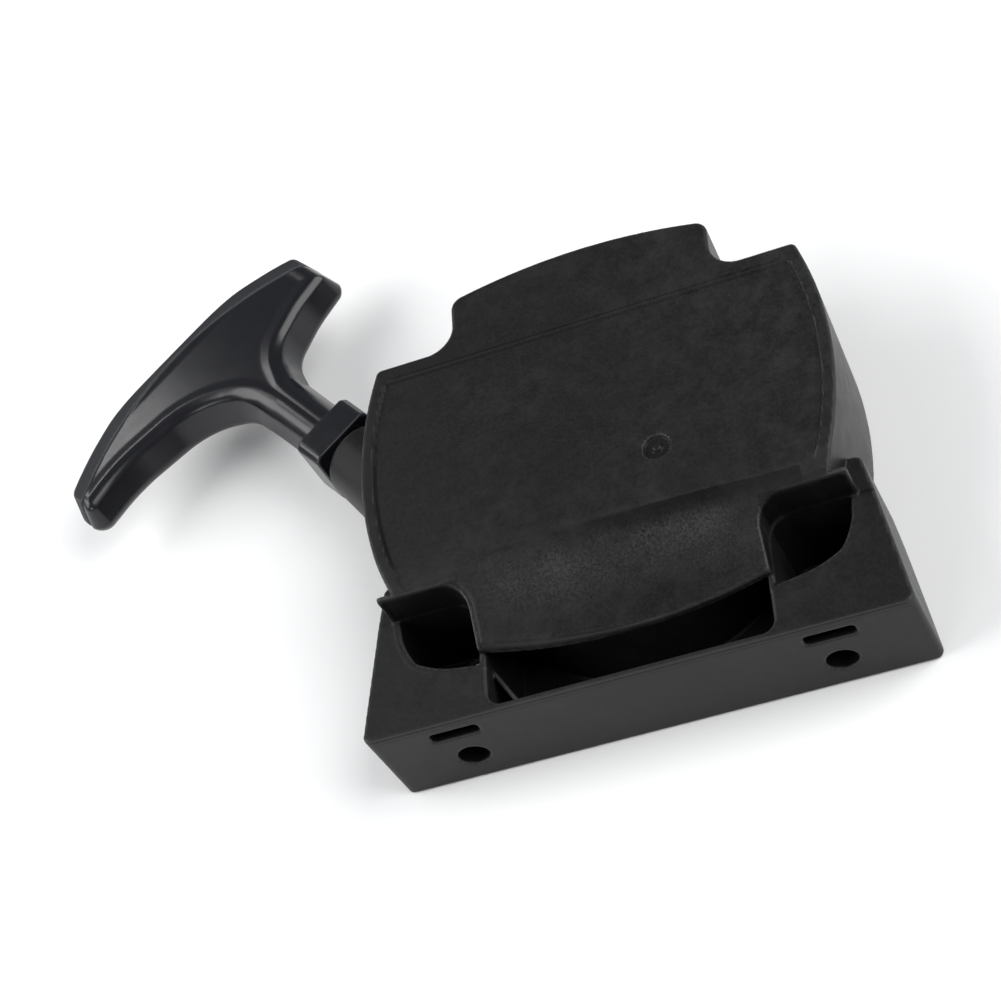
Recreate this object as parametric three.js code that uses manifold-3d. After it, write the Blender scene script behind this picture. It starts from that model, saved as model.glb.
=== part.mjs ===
// Recoil starter of a small two-stroke engine: a moulded case with a docked T-handle, and inside it the
// rope reel, its recoil spring and the swing-out pawls. Millimetres, +Z up. The case lies on the rim that
// meets the engine, with its front plate upwards. Built about the case's own datum: x = 0 is its middle,
// y = 0 the outside of its front wall and z = 0 its rim; the last lines centre the whole part.
import * as THREE from "three";
import { mergeVertices } from "three/addons/utils/BufferGeometryUtils.js";
import Module from "manifold-3d";

const wasm = await Module();
wasm.setup();

// ---- driving dimensions -------------------------------------------------------------------------------
const GAP = 0.3; // clearance between pieces that touch
const WALL = 2.5; // moulded wall

const CASE = { height: 48, bulgeRadius: 130, bulgeX: -54.8, bulgeY: 84, topY: 124.5, lowY: 39.4, draft: 2.2 };
const HUMP = { halfWidth: 42.7, cornerY: 143.5, apexY: 148.7, filletX: 51, filletY: 132.5 };
const RIM = { width: 4.4, recess: 1, topY: 118 };
const SCOOP = { foldY: 47.6, slope: 0.434, halfWidth: 45, cornerY: 20.2, middleY: 15.1, sheet: 2.8 };
const SKIRT = { height: 33, frontHalf: 83.6, midHalf: 77.4, midY: 39.6, backHalf: 75, backY: 52.6 };
const WELL = { floor: 4, wall: 2, corner: 8, inner: 45.4, outer: 70.4, frontY: 16 }; // a screw pocket
const SLEEVE = { x: 52.5, y: 26, boss: 7, hole: 4.5, inner: 3.1, outer: 4.2, top: 14 };
const OPENING = { halfWidth: 43.3, frontY: 2.2, corner: 4 };
const FRONT_HOLE = { x: 56.6, z: 12.3, head: 4.7, shank: 2.7, boss: 7.1, step: 9, end: 11 };
const FRONT_SLOT = { x: 56.9, z: 26, length: 15, height: 3.9, depth: 4 };
const SHROUD = { inner: 52, outer: 54, top: 30, from: 10, to: 46 }; // the fan's curved wall
const DUCT = { floor: 2.5, ribTop: 28, ribBack: 18, ribEnd: -34.2, rib: 1.4 }; // in front of the shroud
const MARK = { x: 19.1, y: 65, radius: 4, depth: 0.6 };

const AXIS = { x: 0, y: 72 }; // the reel's axis
const PULL = { angle: THREE.MathUtils.degToRad(130), x: -75.6, y: 100, z: 22.2 }; // where the rope leaves
const POST = { radius: 4, bore: 1.9, low: 12, boreTop: 30 };
const CHAMBER = { inner: 27, outer: 29, low: 36.3, boss: 31, bossRadius: 3.2 };
const COVER = { radius: 34.5, hole: 10, low: 34.5, top: 36, screwHole: 1.7, screwEnd: 41, screwHead: 2.8 };
const SPRING = { inner: 10.2, outer: 26, turns: 6.5, thickness: 0.7, low: 36.6, top: 44.6 };
const ROPE = { diameter: 3.5, pitch: 3.65, turns: 4.6 };
const REEL = { flange: 46.5, floor: 20.4, groove: 4.4, cheek: 2, hub: 12, neck: 8.5, bore: 5.9, foot: 9.5 };
const BUSH = { inner: 4.3, outer: 5.6, low: 8.9, top: 43 };
const PAWL = { pivot: 15, pin: 2, hole: 2.3, eye: 4.2, low: 9.6, top: 14.2, length: 13, peg: 1.5 };
const GUIDE = { radius: 19, hole: 3.9, low: 6.6, top: 8.2, notch: 2.4 };
const SCREW = { shoulder: 3.6, shank: 1.6, head: 6.5, headLow: 1.2, headTop: 3.8, end: 27 };

const NECK = { root: 14.2, middle: 13, rim: 12.4, shoulder: 17.5, spigot: 8.8, end: 23.4, bore: 5 };
const COLLAR = { from: 20.6, to: 32.2, half: 11.6, top: 11, bottom: -13.2, corner: 3.4, mouth: 9.4, depth: 6 };
const GRIP = { top: 10, bottom: -6, shoulder: 1, bevel: 3.2, stem: 9.6, from: 32.5, right: 45, left: -73 };
const CAP = { depth: 4.6, top: 9.2, bottom: -5 }; // the closing strip along the handle's outer arc
const OUTER = { radius: 122, t: -11, apex: 109.2 }; // the handle's long outer arc
const KNOT = { pocket: 5.2, washer: 4.7, radius: 4, length: 8, from: 90 };
const WINDOW = { count: 5, from: 13.6, to: 19.4, half: 4.4, knot: 2.5, knotLength: 7.2 }; // in the reel's web

// ---- solids -------------------------------------------------------------------------------------------
const { sin, cos, tan, acos, atan2, sqrt, PI } = Math;
const Z = new THREE.Vector3(0, 0, 1);
const pullDir = new THREE.Vector3(cos(PULL.angle), sin(PULL.angle), 0);
const pullSide = new THREE.Vector3(sin(PULL.angle), -cos(PULL.angle), 0);
const pullStart = new THREE.Vector3(PULL.x, PULL.y, PULL.z);

// A closed geometry as a manifold-3d solid.
function solid(geometry) {
  const bare = geometry.clone();
  bare.deleteAttribute("normal");
  bare.deleteAttribute("uv");
  const merged = mergeVertices(bare, 1e-4);
  const vertProperties = merged.attributes.position.array;
  const triVerts = new Uint32Array(merged.index.array);
  return new wasm.Manifold(new wasm.Mesh({ numProp: 3, vertProperties, triVerts }));
}

// A named mesh from a manifold-3d solid.
function piece(name, body, material) {
  const mesh = body.getMesh();
  const position = new Float32Array(mesh.numVert * 3);
  for (let i = 0; i < mesh.numVert; i += 1) {
    for (let k = 0; k < 3; k += 1) position[3 * i + k] = mesh.vertProperties[mesh.numProp * i + k];
  }
  const geometry = new THREE.BufferGeometry();
  geometry.setAttribute("position", new THREE.BufferAttribute(position, 3));
  geometry.setIndex(new THREE.BufferAttribute(new Uint32Array(mesh.triVerts), 1));
  geometry.computeVertexNormals();
  const made = new THREE.Mesh(geometry, material);
  made.name = name;
  return made;
}

// A closed outline from [x, y, cornerRadius] points.
function outline(points, steps = 4) {
  const path = [];
  points.forEach(([x, y, radius = 0], i) => {
    const here = new THREE.Vector2(x, y);
    if (!radius) {
      path.push(here);
      return;
    }
    const before = points[(i + points.length - 1) % points.length];
    const after = points[(i + 1) % points.length];
    const a = new THREE.Vector2(before[0] - x, before[1] - y).normalize();
    const b = new THREE.Vector2(after[0] - x, after[1] - y).normalize();
    const half = acos(THREE.MathUtils.clamp(a.dot(b), -1, 1)) / 2;
    const start = here.clone().addScaledVector(a, radius / tan(half));
    const centre = here.clone().addScaledVector(a.clone().add(b).normalize(), radius / sin(half));
    const end = here.clone().addScaledVector(b, radius / tan(half));
    const from = atan2(start.y - centre.y, start.x - centre.x);
    let sweep = atan2(end.y - centre.y, end.x - centre.x) - from;
    sweep -= 2 * PI * Math.round(sweep / (2 * PI));
    for (let k = 0; k <= steps; k += 1) {
      const angle = from + (sweep * k) / steps;
      path.push(new THREE.Vector2(centre.x + radius * cos(angle), centre.y + radius * sin(angle)));
    }
  });
  return new THREE.Shape(path);
}

// Points [x, y] along an arc.
function arc(cx, cy, radius, from, to, steps) {
  return Array.from({ length: steps + 1 }, (_, i) => {
    const angle = from + ((to - from) * i) / steps;
    return [cx + radius * cos(angle), cy + radius * sin(angle)];
  });
}

const mirrored = (points) => points.map(([x, ...rest]) => [-x, ...rest]).reverse();

// An outline extruded along Z, or laid out by a frame whose third axis is the way it's extruded.
function prism(shape, low, high, frame = null) {
  const geometry = new THREE.ExtrudeGeometry(shape, { depth: high - low, bevelEnabled: false });
  geometry.translate(0, 0, low);
  if (frame) geometry.applyMatrix4(frame);
  return solid(geometry);
}

const frameOf = (x, y, z, origin = new THREE.Vector3()) =>
  new THREE.Matrix4().makeBasis(x, y, z).setPosition(origin);
const acrossX = frameOf(new THREE.Vector3(0, 1, 0), Z, new THREE.Vector3(1, 0, 0));
const acrossY = frameOf(new THREE.Vector3(1, 0, 0), Z, new THREE.Vector3(0, -1, 0));
const pullSection = frameOf(pullSide.clone().negate(), Z, pullDir, pullStart); // across, up, along the pull
const gripFrame = frameOf(pullSide, pullDir, Z, pullStart); // across, along the pull, then up

// A [radius, height] profile turned about a vertical axis; a profile off the axis closes on itself.
function turned(profile, segments = 32, x = 0, y = 0) {
  const points = profile.map(([radius, height]) => new THREE.Vector2(radius, height));
  if (profile[0][0] > 0) points.push(points[0].clone());
  const geometry = new THREE.LatheGeometry(points, segments);
  geometry.rotateX(PI / 2);
  geometry.translate(x, y, 0);
  return solid(geometry);
}

// The same about the pull axis, heights being distances along the pull.
function turnedOnPull(profile, segments = 20) {
  const points = profile.map(([radius, height]) => new THREE.Vector2(radius, height));
  if (profile[0][0] > 0) points.push(points[0].clone());
  const geometry = new THREE.LatheGeometry(points, segments);
  geometry.rotateX(PI / 2);
  geometry.applyMatrix4(pullSection);
  return solid(geometry);
}

const disc = (radius, low, high, x = 0, y = 0, segments = 24) =>
  turned([[0, low], [radius, low], [radius, high], [0, high]], segments, x, y);
const ring = (inner, outer, low, high, x = 0, y = 0, segments = 32) =>
  turned([[inner, low], [outer, low], [outer, high], [inner, high]], segments, x, y);
const box = (x0, x1, y0, y1, z0, z1) =>
  solid(new THREE.BoxGeometry(x1 - x0, y1 - y0, z1 - z0)
    .translate((x0 + x1) / 2, (y0 + y1) / 2, (z0 + z1) / 2));

// A round or flat strand swept along a path.
function swept(path, section, steps) {
  return solid(new THREE.ExtrudeGeometry(section, { steps, extrudePath: path, bevelEnabled: false }));
}

function roundSection(radius, sides) {
  return new THREE.Shape(arc(0, 0, radius, 0, 2 * PI, sides).slice(0, sides)
    .map(([x, y]) => new THREE.Vector2(x, y)));
}

// ---- materials ----------------------------------------------------------------------------------------
const finish = (color, roughness, metalness = 0) =>
  new THREE.MeshStandardMaterial({ color, roughness, metalness });
const caseNylon = finish(0x202122, 0.55);
const gripNylon = finish(0x17181b, 0.32);
const reelNylon = finish(0x2b2d30, 0.5);
const ropeNylon = finish(0x22242a, 0.85);
const steel = finish(0x9aa0a6, 0.35, 1);
const springSteel = finish(0x4b4f57, 0.4, 1);
const bronze = finish(0x9b7440, 0.4, 1);

// ---- the case -----------------------------------------------------------------------------------------
const side = (y, inset) => CASE.bulgeX + sqrt((CASE.bulgeRadius - inset) ** 2 - (y - CASE.bulgeY) ** 2);

// The barrel-shaped side from low to high, set in by inset.
function sidePoints(low, high, inset, steps = 12) {
  return Array.from({ length: steps + 1 }, (_, i) => {
    const y = low + ((high - low) * i) / steps;
    return [side(y, inset), y];
  });
}

// Right half of the top edge, from the side's top corner to the middle of the hump.
function humpPoints(inset) {
  const half = HUMP.halfWidth - inset;
  const rise = HUMP.apexY - HUMP.cornerY;
  const top = Array.from({ length: 5 }, (_, i) => {
    const x = (half - 3) * (1 - i / 4);
    return [x, HUMP.apexY - inset - rise * (x / HUMP.halfWidth) ** 2];
  });
  return [
    [HUMP.filletX - inset, CASE.topY - inset],
    [half + 2.4, CASE.topY - inset + 2.2],
    [half, HUMP.filletY - inset],
    [half, HUMP.cornerY - inset - 2.4],
    ...top,
  ];
}

// The case's outside or inside wall, drawn in by the draft towards its rim.
function barrelPrism(low, inset, bottom) {
  const geometry = new THREE.ExtrudeGeometry(barrelShape(low, inset), {
    depth: CASE.height - bottom,
    bevelEnabled: false,
  });
  geometry.translate(0, 0, bottom);
  const place = geometry.attributes.position;
  for (let i = 0; i < place.count; i += 1) {
    const drawn = (CASE.draft * (CASE.height - place.getZ(i))) / CASE.height;
    place.setX(i, place.getX(i) * (1 - drawn / (CASE.bulgeRadius + CASE.bulgeX)));
  }
  return solid(geometry);
}

function barrelShape(low, inset) {
  const right = [...sidePoints(low, CASE.topY - inset, inset), ...humpPoints(inset)];
  return outline([...right, ...mirrored(right).slice(1)]);
}

// The scooped panel's outline: across below the plate, in round the wells and out to the bowed lip.
function scoopShape() {
  const edge = side(CASE.lowY, 0);
  const bow = Array.from({ length: 9 }, (_, i) => {
    const part = i / 4 - 1;
    return [SCOOP.halfWidth * part, SCOOP.middleY + (SCOOP.cornerY - SCOOP.middleY) * part ** 2];
  });
  return outline([
    [-edge, CASE.topY / 2],
    [-edge, CASE.lowY],
    [-SCOOP.halfWidth, CASE.lowY, WELL.corner],
    ...bow,
    [SCOOP.halfWidth, CASE.lowY, WELL.corner],
    [edge, CASE.lowY],
    [edge, CASE.topY / 2],
  ]);
}

// Everything below the plate and the scoop's slope: the outer surface, or the sheet's underside.
function underScoop(plate, sheet) {
  const reach = 200;
  const out = -9;
  const lip = CASE.height - SCOOP.slope * SCOOP.foldY - sheet;
  const section = outline([
    [out, out],
    [reach, out],
    [reach, CASE.height - plate],
    [SCOOP.foldY, CASE.height - Math.max(plate, sheet)],
    [0, lip],
    [out, lip],
  ]);
  return prism(section, -reach / 2, reach / 2, acrossX);
}

const skirtRight = [
  [SKIRT.frontHalf, 0, 3],
  [SKIRT.midHalf, SKIRT.midY],
  [SKIRT.backHalf, SKIRT.backY, 2],
  [SKIRT.backHalf - 8, SKIRT.backY],
];

// A screw pocket's outline on the right, grown by extra.
function pocketShape(extra) {
  return outline([
    [WELL.inner - extra, CASE.lowY + extra, WELL.corner + extra],
    [WELL.inner - extra, WELL.frontY - extra, 2],
    [SLEEVE.x + 4, WELL.frontY + 2.3 - extra, 4],
    [WELL.outer - 6.4 + extra * 0.7, WELL.frontY + 4.4 - extra * 0.7, 5],
    [WELL.outer - 1 + extra, 31 - extra * 0.3, 6],
    [WELL.outer + extra, CASE.lowY + extra, 1],
  ]);
}

const bothSides = (body) => body.add(body.mirror([1, 0, 0]));

// A front slot's outline, with round ends.
function slotShape() {
  const reach = (FRONT_SLOT.length - FRONT_SLOT.height) / 2;
  const radius = FRONT_SLOT.height / 2;
  return outline([
    ...arc(FRONT_SLOT.x + reach, FRONT_SLOT.z, radius, -PI / 2, PI / 2, 6),
    ...arc(FRONT_SLOT.x - reach, FRONT_SLOT.z, radius, PI / 2, (3 * PI) / 2, 6),
  ]);
}

function makeHousing() {
  const surface = underScoop(0, 0);
  const under = underScoop(WALL, SCOOP.sheet);
  const barrel = barrelPrism(CASE.lowY, 0, 0).intersect(surface);
  const scoop = prism(scoopShape(), 25, CASE.height).intersect(surface).subtract(under);
  const throat = prism(outline([
    [OPENING.halfWidth, OPENING.frontY, OPENING.corner],
    [OPENING.halfWidth, 60],
    [-OPENING.halfWidth, 60],
    [-OPENING.halfWidth, OPENING.frontY, OPENING.corner],
  ]), -1, CASE.height);
  const skirt = prism(outline([...skirtRight, ...mirrored(skirtRight)]), 0, SKIRT.height).subtract(throat);
  let body = barrel.add(scoop).add(skirt);

  const inner = barrelPrism(CASE.lowY + WALL, WALL, -1).intersect(under);
  const apron = prism(outline([
    [OPENING.halfWidth + 4, WALL],
    [SKIRT.frontHalf - WALL - 0.4, WALL, 1.5],
    [SKIRT.midHalf - WALL, SKIRT.midY],
    [SKIRT.backHalf - WALL, SKIRT.backY - WALL],
    [OPENING.halfWidth + 4, SKIRT.backY - WALL],
  ]), -1, SKIRT.height - WALL);
  body = body.subtract(inner).subtract(throat.intersect(under)).subtract(bothSides(apron));

  // Screw pockets: a well with its own walls and floor, and a sleeve boss in its inner corner.
  const wellWall = prism(pocketShape(WELL.wall), 0, SKIRT.height);
  const wellTop = prism(pocketShape(WELL.wall), 20, CASE.height)
    .intersect(prism(scoopShape(), 0, CASE.height)).intersect(surface);
  const boss = disc(SLEEVE.boss, 0, SLEEVE.top, SLEEVE.x, SLEEVE.y);
  const well = prism(pocketShape(0), WELL.floor, CASE.height + 5);
  body = body.add(bothSides(wellWall.add(wellTop))).subtract(bothSides(well));
  body = body.add(bothSides(boss.intersect(prism(pocketShape(1), 0, CASE.height))));
  body = body.subtract(bothSides(disc(SLEEVE.hole, -1, 30, SLEEVE.x, SLEEVE.y)));

  // Front wall: screw holes with stepped bosses behind them, and slots above.
  const { x, z, head, shank, step, end } = FRONT_HOLE;
  const round = (radius) => new THREE.Shape().absarc(x, z, radius, 0, 2 * PI);
  body = body.add(bothSides(prism(round(FRONT_HOLE.boss), -end, -1, acrossY)));
  body = body.subtract(bothSides(prism(round(head), -step, 1, acrossY)));
  body = body.subtract(bothSides(prism(round(shank), -end - 1, 1, acrossY)));
  body = body.subtract(bothSides(prism(slotShape(), -FRONT_SLOT.depth, 1, acrossY)));

  // Plate: the raised border's inner panel and the round mark.
  const panelSide = sidePoints(CASE.lowY, RIM.topY, RIM.width);
  const panel = outline([...panelSide, ...mirrored(panelSide)]);
  body = body.subtract(prism(panel, CASE.height - RIM.recess, CASE.height + 1));
  body = body.subtract(disc(MARK.radius, CASE.height - RIM.recess - MARK.depth, CASE.height, MARK.x, MARK.y));

  // Inside: fan shroud wall below the reel, the spring's chamber, its screw bosses and the reel's post.
  const reach = OPENING.halfWidth + 1;
  const shroud = ring(SHROUD.inner, SHROUD.outer, 0, SHROUD.top, AXIS.x, AXIS.y, 48)
    .intersect(box(-reach, reach, SHROUD.from, SHROUD.to, -1, CASE.height));
  body = body.add(shroud.intersect(under));
  const web = box(-reach, reach, OPENING.frontY - 1, SHROUD.to, 0, DUCT.floor)
    .subtract(disc(SHROUD.inner + 1, -1, DUCT.floor + 1, AXIS.x, AXIS.y, 48));
  const rib = prism(outline([
    [-reach, DUCT.ribBack - DUCT.rib],
    [-reach, DUCT.ribBack + DUCT.rib],
    [DUCT.ribEnd + DUCT.rib / 2, OPENING.frontY - 1],
    [DUCT.ribEnd - DUCT.rib / 2, OPENING.frontY - 1],
  ]), 0, DUCT.ribTop);
  body = body.add(web).add(rib);
  const roof = CASE.height - WALL + 0.2;
  body = body.add(ring(CHAMBER.inner, CHAMBER.outer, CHAMBER.low, roof, AXIS.x, AXIS.y, 32));
  coverScrewPlaces().forEach(([atX, atY]) => {
    body = body.add(disc(CHAMBER.bossRadius, CHAMBER.low, roof, atX, atY, 12));
    body = body.subtract(disc(COVER.screwHole, CHAMBER.low - 1, COVER.screwEnd + 1, atX, atY, 8));
  });
  body = body.add(disc(POST.radius, POST.low, roof, AXIS.x, AXIS.y, 16));
  body = body.subtract(disc(POST.bore, POST.low - 1, POST.boreTop, AXIS.x, AXIS.y, 12));

  // Rope neck on the left wall, open inwards, with its docking spigot.
  const neck = turnedOnPull([[0, -14], [NECK.root + 2, -14], [NECK.root, 1], [NECK.middle, 9],
    [NECK.rim, NECK.shoulder], [NECK.spigot, NECK.shoulder], [NECK.spigot, NECK.end], [0, NECK.end]]);
  const inside = barrelPrism(CASE.lowY + WALL, WALL, -1);
  body = body.add(neck.subtract(inside));
  return body.subtract(turnedOnPull([[0, -30], [NECK.bore, -30], [NECK.bore, 40], [0, 40]]));
}

function coverScrewPlaces() {
  return [90, 210, 330].map((degrees) => {
    const angle = THREE.MathUtils.degToRad(degrees);
    return [AXIS.x + CHAMBER.boss * cos(angle), AXIS.y + CHAMBER.boss * sin(angle)];
  });
}

// ---- fixed pieces inside the case ---------------------------------------------------------------------
function makeRopeGuide() {
  const outer = NECK.bore - GAP;
  return turnedOnPull([[2.6, -6], [outer, -6], [outer, NECK.end + GAP], [6.6, NECK.end + GAP],
    [6.6, NECK.end + 1.2], [4.2, NECK.end + 1.8], [2.9, NECK.end + 0.8], [2.6, NECK.end - 2]], 16);
}

class Spiral extends THREE.Curve {
  constructor(from, to, turns, start, z) {
    super();
    Object.assign(this, { from, to, turns, start, z });
  }

  getPoint(t, target = new THREE.Vector3()) {
    const radius = this.from + (this.to - this.from) * t;
    const angle = this.start + this.turns * 2 * PI * t;
    return target.set(AXIS.x + radius * cos(angle), AXIS.y + radius * sin(angle), this.z);
  }
}

function makeRecoilSpring() {
  const width = SPRING.top - SPRING.low;
  const path = new Spiral(SPRING.outer, SPRING.inner, SPRING.turns, 0, (SPRING.low + SPRING.top) / 2);
  const strip = outline([[-width / 2, -SPRING.thickness / 2], [width / 2, -SPRING.thickness / 2],
    [width / 2, SPRING.thickness / 2], [-width / 2, SPRING.thickness / 2]]);
  return swept(path, strip, 104);
}

function makeSpringCover() {
  let body = ring(COVER.hole, COVER.radius, COVER.low, COVER.top, AXIS.x, AXIS.y, 32);
  coverScrewPlaces().forEach(([x, y]) => {
    body = body.subtract(disc(COVER.screwHole, COVER.low - 1, COVER.top + 1, x, y, 8));
  });
  return body;
}

function makeCoverScrew([x, y]) {
  const { screwHead, screwEnd, screwHole, low } = COVER;
  const under = low - GAP;
  const shank = screwHole - GAP;
  return turned([[0, under - 2], [screwHead - 0.6, under - 2], [screwHead, under - 1.2],
    [screwHead, under], [shank, under], [shank, screwEnd], [0, screwEnd + 0.6]], 10, x, y);
}

const makeSleeve = (sign) =>
  ring(SLEEVE.inner, SLEEVE.outer, 0.1, SLEEVE.top + 0.4, sign * SLEEVE.x, SLEEVE.y, 24);

function makeCentreScrew() {
  const { head, headLow, headTop, shoulder, shank, end } = SCREW;
  const body = turned([[0, headLow], [head - 1, headLow], [head, headLow + 1], [head, headTop],
    [shoulder, headTop], [shoulder, POST.low - GAP], [shank, POST.low - GAP], [shank, end], [0, end + 1]],
    24, AXIS.x, AXIS.y);
  const socket = turned([[0, headLow - 1], [2.9, headLow - 1], [2.9, headTop - 0.6], [0, headTop - 0.6]],
    6, AXIS.x, AXIS.y);
  return body.subtract(socket);
}

const makeThrustWasher = () =>
  ring(SCREW.shoulder + GAP, 8.5, SCREW.headTop + GAP, 4.9, AXIS.x, AXIS.y, 28);

const makeFrictionSpring = () =>
  turned([[5.2, 5.2], [9.5, 5.5], [9.5, 6.1], [5.2, 5.8]], 28, AXIS.x, AXIS.y);

// ---- pieces on the reel -------------------------------------------------------------------------------
const tangentRadius = (AXIS.x - PULL.x) * pullSide.x + (AXIS.y - PULL.y) * pullSide.y;
const leaveAngle = atan2(-pullSide.y, -pullSide.x); // where the rope leaves the reel
const knotAngle = leaveAngle + 2 * PI * ROPE.turns; // where the winding's inner end lies
const pawlAngles = [0, PI];

function aroundAxis(body, angle) {
  const turnedBody = body.rotate([0, 0, THREE.MathUtils.radToDeg(angle)]);
  return turnedBody.translate([AXIS.x, AXIS.y, 0]);
}

function makeReel() {
  const grooveLow = PULL.z - REEL.groove / 2;
  const grooveTop = PULL.z + REEL.groove / 2;
  const low = grooveLow - REEL.cheek;
  const top = grooveTop + REEL.cheek;
  let body = turned([
    [REEL.bore, GUIDE.top + 0.4], [REEL.foot, GUIDE.top + 0.4], [REEL.foot, low], [REEL.flange, low],
    [REEL.flange, grooveLow - 0.8], [REEL.flange - 2, grooveLow], [REEL.floor, grooveLow],
    [REEL.floor, grooveTop], [REEL.flange - 2, grooveTop], [REEL.flange, grooveTop + 0.8],
    [REEL.flange, top], [REEL.hub, top], [REEL.hub, COVER.low - 0.8], [REEL.neck, COVER.low - 0.8],
    [REEL.neck, SPRING.top - 0.4], [REEL.bore, SPRING.top - 0.4],
  ], 40);
  pawlAngles.forEach((angle) => {
    const pin = disc(PAWL.pin, PAWL.low - 0.4, low + 0.5, PAWL.pivot, 0, 16);
    body = body.add(pin.rotate([0, 0, THREE.MathUtils.radToDeg(angle)]));
  });
  // Lightening windows between the hub and the groove's floor, one of them the rope knot's pocket.
  for (let i = 0; i < WINDOW.count; i += 1) {
    const window = box(WINDOW.from, WINDOW.to, -WINDOW.half, WINDOW.half, low - 1, top + 1);
    const turn = THREE.MathUtils.radToDeg(knotAngle) + (360 * i) / WINDOW.count;
    body = body.subtract(window.rotate([0, 0, turn]));
  }
  return aroundAxis(body, 0);
}

const makeBush = () => ring(BUSH.inner, BUSH.outer, BUSH.low, BUSH.top, AXIS.x, AXIS.y, 28);

// A pawl lies back along the reel's edge, its peg in the guide's notch.
function makePawl(angle) {
  const arm = outline([[-3.2, 1], [3.6, 1], [3.4, -7], [2.6, -PAWL.length], [-0.4, -PAWL.length + 1.2],
    [-2, -6]]);
  let body = prism(arm, PAWL.low, PAWL.top).add(disc(PAWL.eye, PAWL.low, PAWL.top, 0, 0, 20));
  body = body.add(disc(PAWL.peg, GUIDE.low + GAP, PAWL.low + 0.5, 0.5, -7, 12));
  body = body.subtract(disc(PAWL.hole, 0, 30, 0, 0, 16));
  return aroundAxis(body.translate([PAWL.pivot, 0, 0]), angle);
}

class Coil extends THREE.Curve {
  constructor(radius, low, high, turns) {
    super();
    Object.assign(this, { radius, low, high, turns });
  }

  getPoint(t, target = new THREE.Vector3()) {
    const angle = this.turns * 2 * PI * t;
    const z = this.low + (this.high - this.low) * t;
    return target.set(PAWL.pivot + this.radius * cos(angle), this.radius * sin(angle), z);
  }
}

function makePawlSpring(angle) {
  return aroundAxis(swept(new Coil(3.1, 15, 17, 2.25), roundSection(0.45, 5), 22), angle);
}

function makePawlGuide() {
  let body = ring(GUIDE.hole, GUIDE.radius, GUIDE.low, GUIDE.top, 0, 0, 32);
  const notch = prism(outline([
    [PAWL.pivot + 0.5 - GUIDE.notch, -4.6, 2],
    [PAWL.pivot + 0.5 + GUIDE.notch, -4.6, 2],
    [PAWL.pivot + 0.5 + GUIDE.notch, -24],
    [PAWL.pivot - 0.5 - GUIDE.notch, -24],
  ]), 0, 20);
  pawlAngles.forEach((angle) => {
    body = body.subtract(notch.rotate([0, 0, THREE.MathUtils.radToDeg(angle)]));
  });
  return aroundAxis(body, 0);
}

function makeRopeWinding() {
  const outer = tangentRadius;
  const inner = outer - ROPE.pitch * ROPE.turns;
  const path = new Spiral(outer, inner, ROPE.turns, leaveAngle, PULL.z);
  return swept(path, roundSection(ROPE.diameter / 2, 6), 84);
}

// ---- pieces that move with the handle -----------------------------------------------------------------
const onPull = (s) => pullStart.clone().addScaledVector(pullDir, s);
const outerEdge = (t, inset) =>
  OUTER.apex - OUTER.radius + sqrt((OUTER.radius - inset) ** 2 - (t - OUTER.t) ** 2);

// The long arc from the left tip to the right tip, set in by inset.
function outerArc(inset, margin = 0, steps = 14) {
  const from = GRIP.left + 3 + margin;
  const to = GRIP.right - 1.6 - margin;
  return Array.from({ length: steps + 1 }, (_, i) => {
    const t = from + ((to - from) * i) / steps;
    return [t, outerEdge(t, inset)];
  });
}

function gripShape(inset) {
  const stem = GRIP.stem - inset;
  return outline([
    [-stem, GRIP.from + inset],
    [stem, GRIP.from + inset],
    [stem + 0.4, 58],
    [14 - inset, 69.6 + inset * 0.6, 9],
    [30, 76 + inset],
    [GRIP.right - inset, 79 + inset, 3],
    [GRIP.right - 0.6 - inset, 88.4, 1.5],
    ...outerArc(CAP.depth + GAP, 1.2 + inset * 0.6).reverse(),
    [GRIP.left + inset, 86.4, 1.2],
    [GRIP.left + inset + 0.6, 80 + inset, 4 - inset * 0.8],
    [-54, 82.6 + inset],
    [-40, 82.2 + inset],
    [-20, 77 + inset, 12],
    [-10.2 + inset * 0.6, 66, 9],
    [-stem, 54],
  ], 5);
}

function makeHandleGrip() {
  const steps = [[GRIP.shoulder, 1.1], [GRIP.bevel, 0]];
  let body = prism(gripShape(0), GRIP.bottom + GRIP.bevel, GRIP.top - GRIP.bevel, gripFrame);
  steps.forEach(([inset, drop]) => {
    body = body.add(prism(gripShape(inset), GRIP.bottom + drop, GRIP.top - drop, gripFrame));
  });
  const bore = turnedOnPull([[0, 0], [2.9, 0], [2.9, KNOT.from], [KNOT.pocket, KNOT.from],
    [KNOT.pocket, 120], [0, 120]], 16);
  return body.subtract(bore);
}

function makeHandleCap() {
  const strip = outline([...outerArc(0), ...outerArc(CAP.depth).reverse()]);
  return prism(strip, CAP.bottom, CAP.top, gripFrame);
}

function makeHandleCollar() {
  const { half, top, bottom, corner } = COLLAR;
  const section = outline([[-half, bottom, corner], [half, bottom, corner], [half, top, corner],
    [-half, top, corner]]);
  const body = prism(section, COLLAR.from, COLLAR.to, pullSection);
  return body.subtract(turnedOnPull([[0, 10], [COLLAR.mouth, 10], [COLLAR.mouth, COLLAR.from + COLLAR.depth],
    [2.9, COLLAR.from + COLLAR.depth + 1.5], [2.9, 40], [0, 40]]));
}

const makeKnotWasher = () =>
  turnedOnPull([[2.6, KNOT.from + GAP], [KNOT.washer, KNOT.from + GAP], [KNOT.washer, KNOT.from + 1.6],
    [2.6, KNOT.from + 1.6]], 16);

// A tied knot's rounded profile.
function knotProfile(low, radius, length) {
  const middle = low + length / 2;
  return arc(0, 0, 1, -PI / 2, PI / 2, 8)
    .map(([across, along]) => [Math.max(0, across * radius), middle + (along * length) / 2]);
}

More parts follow.
